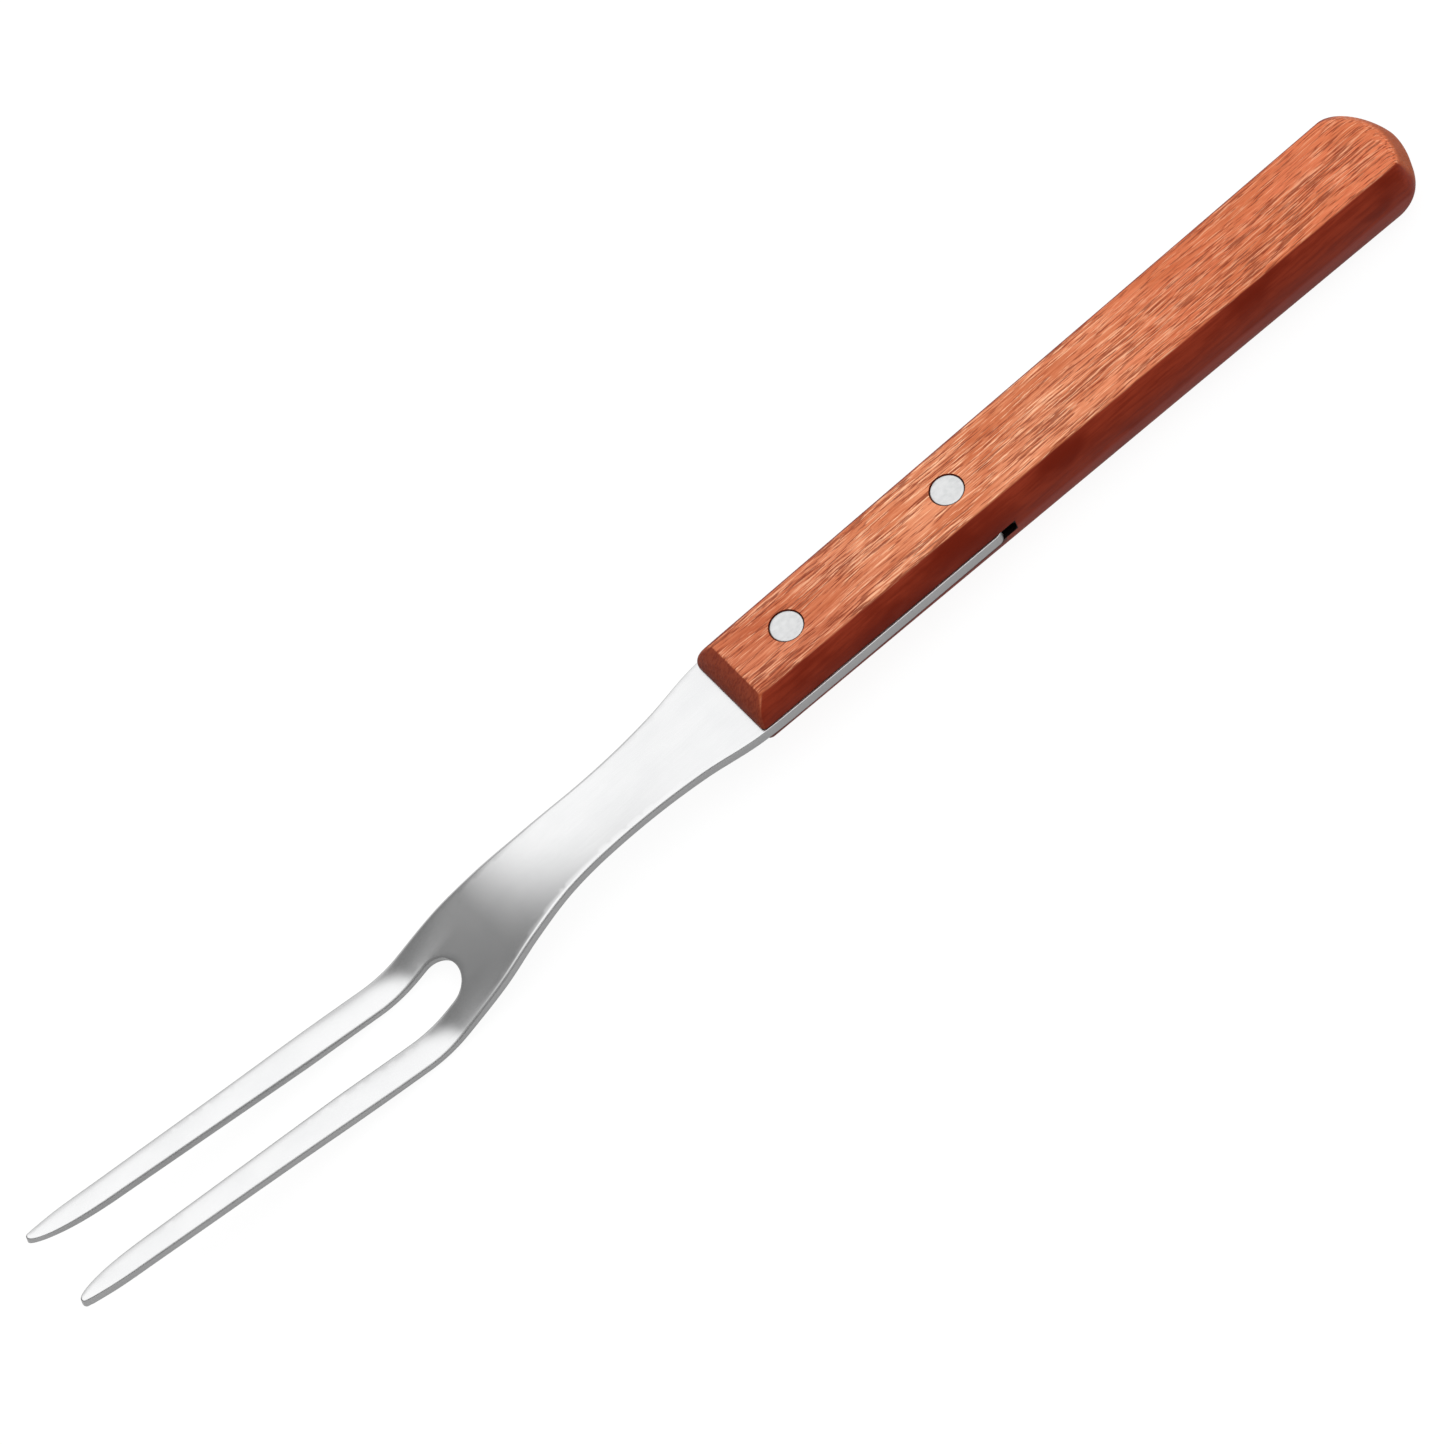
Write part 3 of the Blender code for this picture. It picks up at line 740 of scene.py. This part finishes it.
def wood_face(s, x, noises):
    """The colour of the flat faces, and how strongly each point is a pore."""
    rearwards = s.ramp(x, *WOOD_CHANGES)
    figure = s.math("ADD", s.math("MULTIPLY", noises["bands"], 0.40),
                    s.math("MULTIPLY", noises["streaks"], 0.60))
    dark = s.mix(rearwards, *WOOD_DARK)
    light = s.mix(rearwards, *WOOD_LIGHT)
    colour = s.mix(s.ramp(figure, 0.36, 0.63), dark, light)
    colour = s.mix(s.ramp(noises["blotches"], 0.42, 0.68, 0.0, 0.55), colour, WOOD_BLOTCH)
    flecks = s.ramp(s.math("ADD", noises["flecks"], noises["crowd"]), 0.530, 0.650)
    fleck_share = s.ramp(rearwards, 0.0, 1.0, 0.80, 0.40)
    colour = s.mix(s.math("MULTIPLY", flecks, fleck_share), colour, WOOD_FLECK)
    pores = s.ramp(s.math("ADD", noises["pores"], noises["crowd"]), 0.510, 0.610)
    colour = s.mix(s.math("MULTIPLY", pores, 0.85), colour, WOOD_PORE)
    colour = s.mix(s.ramp(noises["fibres"], 0.30, 0.70, 0.0, 0.25), colour, WOOD_FIBRE)
    stain_x = s.math("ADD", x, s.math("MULTIPLY", noises["blotches"], STAIN_WANDERS))
    stain = s.ramp(stain_x, *STAIN_FADES, 0.55, 0.0)
    return s.mix(stain, colour, s.mix(1.0, colour, WOOD_STAIN, "MULTIPLY")), pores


def side_colour_with_painted_light(s, z, noises):
    """The colour of the long sides: a darker, redder copy of the wood's colour as painted shade,
    made paler low down by painted bounce light.
    """
    # Painted shade: darker colours for the sides, which face away from the overhead light.
    colour = s.mix(s.ramp(noises["streaks"], 0.35, 0.65), *WOOD_SIDE_PAINTED_SHADE)
    colour = s.mix(s.ramp(noises["blotches"], 0.40, 0.66), colour, WOOD_SIDE_BLOTCH_PAINTED_SHADE)
    # Painted bounce light: paler towards the bottom of the sides.
    return s.mix(s.ramp(z, *BOUNCE_LIGHT_FADES, 0.0, 0.5), colour, WOOD_LAND_PAINTED_BOUNCE)


def painted_shade_at_tang(s, x, z, colour):
    """Paints shade: a painted shadow on the wood just below the tang, and painted shade that
    blackens the cut faces of the slot.
    """
    beside_tang = s.math("LESS_THAN", x, TANG_END_X)
    below_tang = s.math("MULTIPLY", s.math("LESS_THAN", z, -SHEET), beside_tang)
    # Painted shadow, strongest just under the tang.
    shade = s.math("MULTIPLY", below_tang, s.ramp(z, *SHADOW_BELOW_TANG_FADES, 0.0, 0.8))
    colour = s.mix(shade, colour, PAINTED_SHADOW_BELOW_TANG)
    # Painted shade: the slot's faces are blackened.
    slot_level = s.within(z, -SHEET / 2, SHEET / 2 + 2 * FIT_GAP)
    before_end = s.math("LESS_THAN", x, TANG_END_X + SLOT_PAST_TANG + FIT_GAP)
    return s.mix(s.math("MULTIPLY", slot_level, before_end), colour, PAINTED_SHADE_IN_SLOT)


def wood_material():
    """Reddish oiled hardwood: streaked along X, with short dark pores and pale flecks."""
    s = Shader("oiled_red_hardwood")
    place = s.place()
    x, z = s.axis(place, "X"), s.axis(place, "Z")
    noises = wood_noises(s, place)
    face, pores = wood_face(s, x, noises)
    sideways = s.ramp(s.math("ABSOLUTE", s.facing("Y")), 0.45, 0.68)
    frontwards = s.ramp(s.math("MULTIPLY", s.facing("X"), -1.0), 0.36, 0.58)
    backwards = s.ramp(s.facing("X"), 0.62, 0.88)
    # The long sides take a colour with painted shade and painted bounce light.
    colour = s.mix(sideways, face, side_colour_with_painted_light(s, z, noises))
    end_grain = s.mix(s.ramp(noises["pores"], 0.40, 0.65), *WOOD_FRONT_END)
    colour = s.mix(frontwards, colour, end_grain)
    colour = s.mix(backwards, colour, WOOD_REAR_END)
    # Painted shadow below the tang and painted shade inside the slot.
    colour = painted_shade_at_tang(s, x, z, colour)

    streaks = noises["streaks"]
    relief = s.math("ADD", s.math("MULTIPLY", streaks, 0.35), s.math("MULTIPLY", pores, -1.0))
    smoother = s.math("SUBTRACT", 1.0, s.math("MULTIPLY", sideways, 0.7))
    s.bump(s.math("MULTIPLY", relief, smoother), 0.30, 0.00010)
    s.principal(base_color=colour, roughness=s.ramp(streaks, 0.3, 0.7, 0.44, 0.60))
    s.principled.inputs["Specular IOR Level"].default_value = 0.12
    return s.material


def steel_material():
    """Satin-polished stainless steel: faint lines along the blade, and duller edges."""
    s = Shader("satin_polished_steel")
    place = s.place()
    lines = s.noise(place, (120.0, 5200.0, 5200.0), 3.0, 0.6)
    cloud = s.noise(place, (90.0, 140.0, 140.0), 2.0, shift=1.7)
    colour = s.mix(s.ramp(cloud, 0.3, 0.7), (0.468, 0.470, 0.473), (0.486, 0.487, 0.489))
    edge = s.ramp(s.math("ABSOLUTE", s.facing("Y")), 0.30, 0.70, 0.0, 0.20)
    roughness = s.math("ADD", s.ramp(lines, 0.3, 0.7, 0.20, 0.25), edge)
    s.principal(base_color=colour, roughness=roughness)
    s.principled.inputs["Metallic"].default_value = 1.0
    return s.material


def rivet_material():
    """Pale aluminium with the fine mottling left by setting and sanding."""
    s = Shader("satin_aluminium")
    place = s.place()
    mottle = s.noise(place, (900.0, 900.0, 900.0), 3.0)
    scratches = s.noise(place, (700.0, 9000.0, 900.0), 2.0, shift=0.9)
    colour = s.mix(s.ramp(mottle, 0.3, 0.7), (0.405, 0.410, 0.413), (0.450, 0.453, 0.455))
    roughness = s.ramp(scratches, 0.3, 0.7, 0.30, 0.42)
    s.bump(s.math("ADD", mottle, scratches), 0.08, 0.00003)
    s.principal(base_color=colour, roughness=roughness)
    s.principled.inputs["Metallic"].default_value = 1.0
    return s.material


# ---- Floor, light and camera -------------------------------------------------------------
FLOOR_RADIUS = 5.0
FLOOR_GLOW = 0.92               # share of the floor's brightness that shadows don't touch
FLOOR_PALE = 0.10
FLOOR_SEGMENTS = 96
FLOOR_REFLECTED = 0.42          # how pale the floor is in reflections and as bounce light
FLOOR_REFLECTED_GLOW = 0.22
SKY_PALE = 1.0
KEY_DIRECTION = Vector((0.27, 0.0, 0.963)).normalized()
KEY_RADIUS = math.radians(44)
KEY_SOFTNESS = math.radians(11)
KEY_STRENGTH = 1.62
FILL_STRENGTH = 0.37
FILL_DIRECTION = Vector((0.0, 0.8, 0.6))
FILL_SPREAD = (-0.6, 0.8)
FILL_DIM = 0.75                 # share of the fill on the side away from its direction
BACK_DIRECTION = Vector((0.30, 0.95, 0.05)).normalized()    # a weaker light low behind
BACK_SPREAD = (0.62, 0.95)      # cosines of the angles where it starts and is strongest
BACK_STRENGTH = 0.90
CAMERA_FROM = Vector((-0.22369, -0.80384, 1.25121))     # in the design frame
CAMERA_LOOKS = Vector((0.135513, 0.534057, -0.834518))
CAMERA_UP = Vector((0.640737, 0.595210, 0.484955))
CAMERA_LENS = 199.2


def make_floor():
    s = Shader("pale_floor")
    tree = s.tree
    tree.nodes.remove(s.principled)
    output = tree.nodes["Material Output"]
    seen = s.add("ShaderNodeLightPath", output="Is Camera Ray")
    pale = s.add("ShaderNodeBsdfDiffuse", {"Color": (FLOOR_PALE, FLOOR_PALE, FLOOR_PALE, 1.0)})
    glow = s.add("ShaderNodeEmission", {"Color": (1, 1, 1, 1), "Strength": FLOOR_GLOW})
    both = s.add("ShaderNodeAddShader", {0: pale, 1: glow})
    grey = (FLOOR_REFLECTED,) * 3 + (1.0,)
    bounce = s.add("ShaderNodeAddShader", {
        0: s.add("ShaderNodeBsdfDiffuse", {"Color": grey}),
        1: s.add("ShaderNodeEmission", {"Color": (1, 1, 1, 1), "Strength": FLOOR_REFLECTED_GLOW})})
    tree.links.new(s.add("ShaderNodeMixShader", {0: seen, 1: bounce, 2: both}),
                   output.inputs["Surface"])
    mesh_data = bmesh.new()
    bmesh.ops.create_circle(mesh_data, cap_ends=True, segments=FLOOR_SEGMENTS,
                            radius=FLOOR_RADIUS)
    mesh = bpy.data.meshes.new("floor")
    mesh_data.to_mesh(mesh)
    mesh_data.free()
    mesh.materials.append(s.material)
    floor = bpy.data.objects.new("floor", mesh)
    bpy.context.collection.objects.link(floor)


def make_light():
    """A big soft overhead light, a gentle fill and a back light, as gradients over the sky."""
    world = bpy.data.worlds.new("studio")
    bpy.context.scene.world = world
    world.use_nodes = True
    sky = Nodes(world.node_tree)
    background = sky.tree.nodes["Background"]
    background.inputs["Color"].default_value = (1.0, 1.0, 1.0, 1.0)
    direction = sky.add("ShaderNodeTexCoord", output="Generated")

    def along(axis):
        return sky.add("ShaderNodeVectorMath", {0: direction, 1: axis}, output="Value",
                       operation="DOT_PRODUCT")

    key = sky.ramp(along(KEY_DIRECTION), math.cos(KEY_RADIUS + KEY_SOFTNESS),
                   math.cos(KEY_RADIUS - KEY_SOFTNESS), 0.0, KEY_STRENGTH)
    fill = sky.ramp(along(FILL_DIRECTION), *FILL_SPREAD, FILL_STRENGTH * FILL_DIM, FILL_STRENGTH)
    back = sky.ramp(along(BACK_DIRECTION), *BACK_SPREAD, 0.0, BACK_STRENGTH)
    total = sky.math("ADD", sky.math("ADD", key, fill), back)
    seen = sky.add("ShaderNodeLightPath", output="Is Camera Ray")
    sky.put(background.inputs["Strength"],
            sky.add("ShaderNodeMix", {0: seen, 2: total, 3: SKY_PALE}))


def make_camera():
    data = bpy.data.cameras.new("camera")
    data.lens = CAMERA_LENS
    data.sensor_width = 36.0
    data.clip_start = 0.01
    data.clip_end = 50.0
    camera = bpy.data.objects.new("camera", data)
    bpy.context.collection.objects.link(camera)
    back = -CAMERA_LOOKS.normalized()
    right = CAMERA_UP.cross(back).normalized()
    up = back.cross(right)
    turn = Matrix((right, up, back)).transposed().to_4x4()
    camera.matrix_world = TO_WORLD @ Matrix.Translation(CAMERA_FROM) @ turn
    bpy.context.scene.camera = camera


def main():
    bpy.context.scene.view_settings.view_transform = "Standard"
    make_camera()
    make_floor()
    make_light()
    make_blade(steel_material())
    make_handle(wood_material())
    metal = rivet_material()
    for index, place in enumerate(("front", "rear")):
        make_rivet(place, index * RIVET_SPACING, metal)


main()
